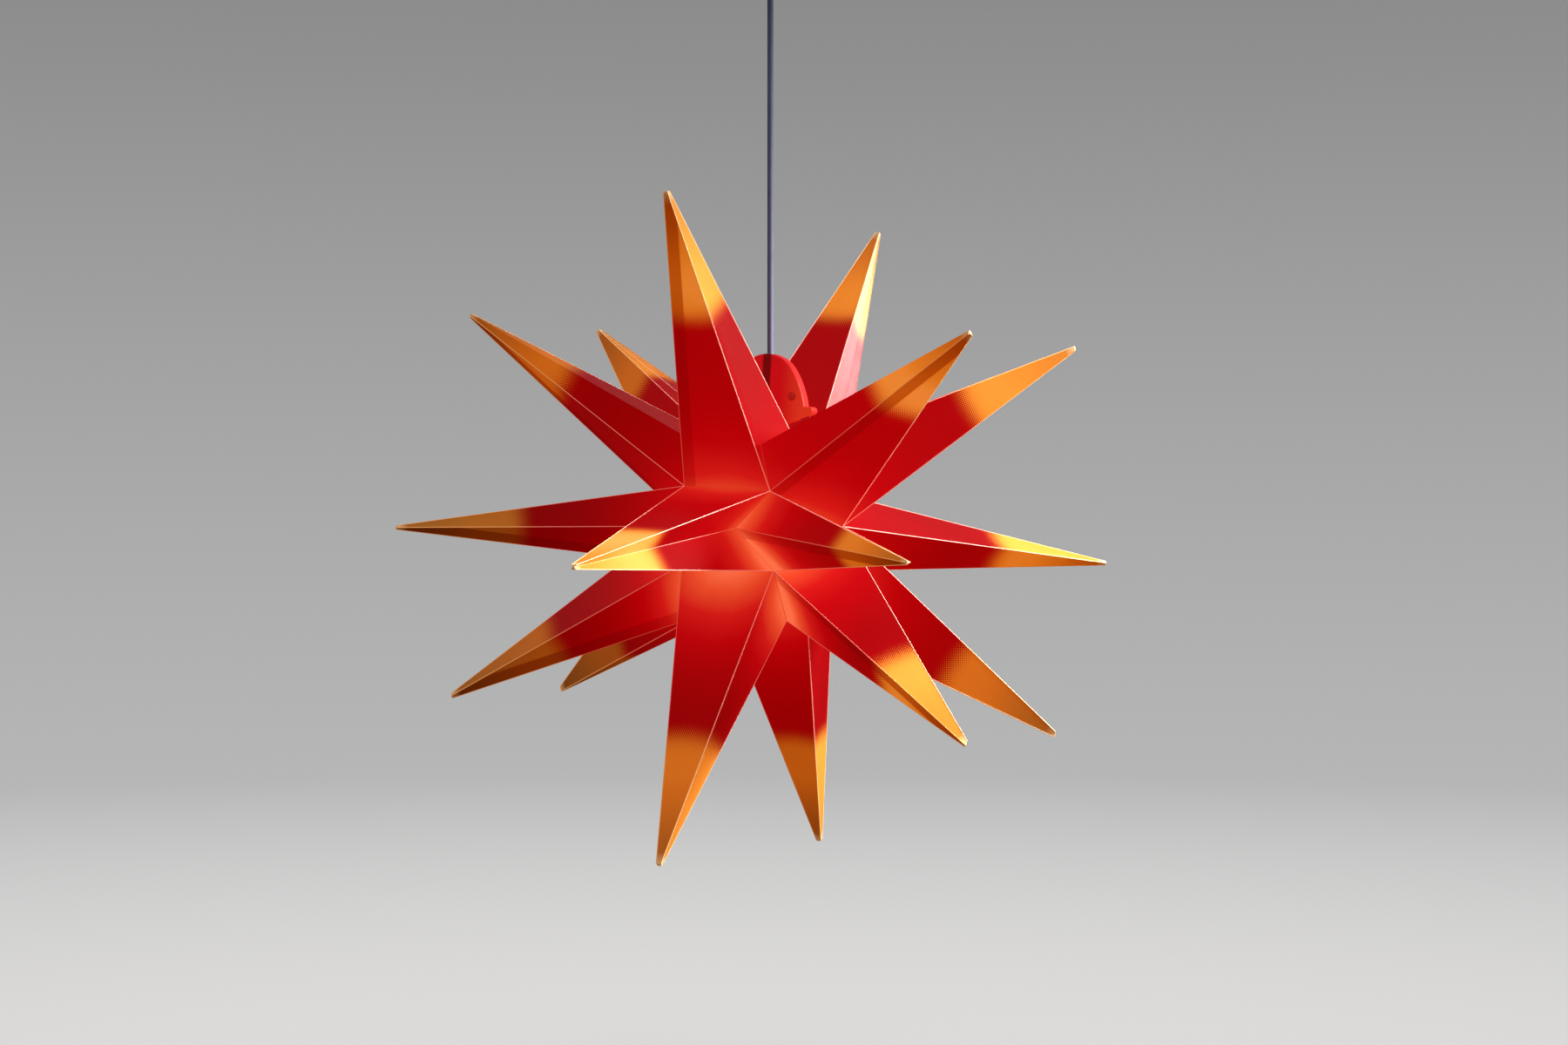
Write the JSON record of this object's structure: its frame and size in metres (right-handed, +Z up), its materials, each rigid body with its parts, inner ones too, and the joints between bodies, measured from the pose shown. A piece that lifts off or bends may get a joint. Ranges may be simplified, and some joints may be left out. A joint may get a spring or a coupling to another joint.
{
  "type": "pendant star light",
  "caption": "Folded film star with eighteen slender two-colour points, lit from inside by a screw-in LED lamp, hanging on a straight cord from a ceiling rose.",
  "frame": {"origin": "on the ceiling, in the middle of the ceiling rose", "axes": "+Z up; the upper and lower middle points lie fore and aft along Y, -Y is the front"},
  "size_m": [0.4446, 0.5589, 0.7319],
  "materials": {
    "film": "printed translucent film",
    "holder_plastic": "moulded translucent red",
    "screw_steel": "zinc plated",
    "lampholder_plastic": "moulded white",
    "insulator": "ceramic-like",
    "thread_shell": "nickel plated",
    "contact_brass": "satin",
    "lamp_plastic": "moulded white",
    "lamp_diffuser": "opal",
    "board": "white solder mask",
    "led_emitter": "phosphor",
    "canopy_paint": "satin grey-blue",
    "canopy_plastic": "moulded grey-blue",
    "terminal_plastic": "moulded white",
    "core_insulation": "smooth",
    "cord_sheath": "smooth grey-blue"
  },
  "bodies": {
    "ceiling": {"ceiling_bracket": "screw_steel", "canopy_cup": "canopy_paint", "cup_screws": "screw_steel", "terminal_block": "terminal_plastic", "terminal_screws": "contact_brass", "cord_grip": "canopy_plastic", "grip_screw": "screw_steel", "grip_nut": "screw_steel", "cord_cores": "core_insulation", "cord_in_rose": "cord_sheath"},
    "cord": {"cord_drop": "cord_sheath"},
    "cord_end": {"cord_in_holder": "cord_sheath"},
    "star": {"point_upper_front": "film", "point_upper_front_left": "film", "point_upper_front_right": "film", "point_upper_back": "film", "point_upper_back_left": "film", "point_upper_back_right": "film", "point_middle_front": "film", "point_middle_front_left": "film", "point_middle_front_right": "film", "point_middle_back": "film", "point_middle_back_left": "film", "point_middle_back_right": "film", "point_lower_front": "film", "point_lower_front_left": "film", "point_lower_front_right": "film", "point_lower_back": "film", "point_lower_back_left": "film", "point_lower_back_right": "film", "hanging_tab_left": "film", "hanging_tab_right": "film", "holder_front": "holder_plastic", "holder_back": "holder_plastic", "holder_screws": "screw_steel", "lampholder_cap": "lampholder_plastic", "lampholder_barrel": "lampholder_plastic", "lampholder_insert": "insulator", "screw_sleeve": "thread_shell", "centre_contact": "contact_brass"},
    "bulb_core": {"led_board": "board", "led_chips": "led_emitter"},
    "bulb": {"lamp_screw_cap": "thread_shell", "lamp_tip_contact": "contact_brass", "lamp_body": "lamp_plastic", "lamp_globe": "lamp_diffuser"}
  },
  "joints": [
    {"name": "cord_swing", "type": "hinge", "parent": "ceiling", "child": "cord", "pos_m": [0, 0, -0.062], "axis": [0, 1, 0], "range_deg": [-18, 18]},
    {"name": "star_tilt", "type": "hinge", "parent": "cord", "child": "cord_end", "pos_m": [0, 0, -0.348], "axis": [1, 0, 0], "range_deg": [-12, 12]},
    {"name": "star_turn", "type": "hinge", "parent": "cord_end", "child": "star", "pos_m": [0, 0, -0.348], "axis": [0.0495, 0.0258, 0.9984], "range_deg": [-180, 180]},
    {"name": "bulb_travel", "type": "slide", "parent": "star", "child": "bulb_core", "axis": [-0.0495, -0.0258, -0.9984], "range_m": [0, 0.0102]},
    {"name": "bulb_turn", "type": "hinge", "parent": "bulb_core", "child": "bulb", "pos_m": [-0.00649, -0.00338, -0.4788], "axis": [-0.0495, -0.0258, -0.9984], "range_deg": [0, 1260]}
  ],
  "couplings": [
    {"joint": "bulb_travel", "follows": "bulb_turn", "m_per_rad": 0.00044913}
  ]
}
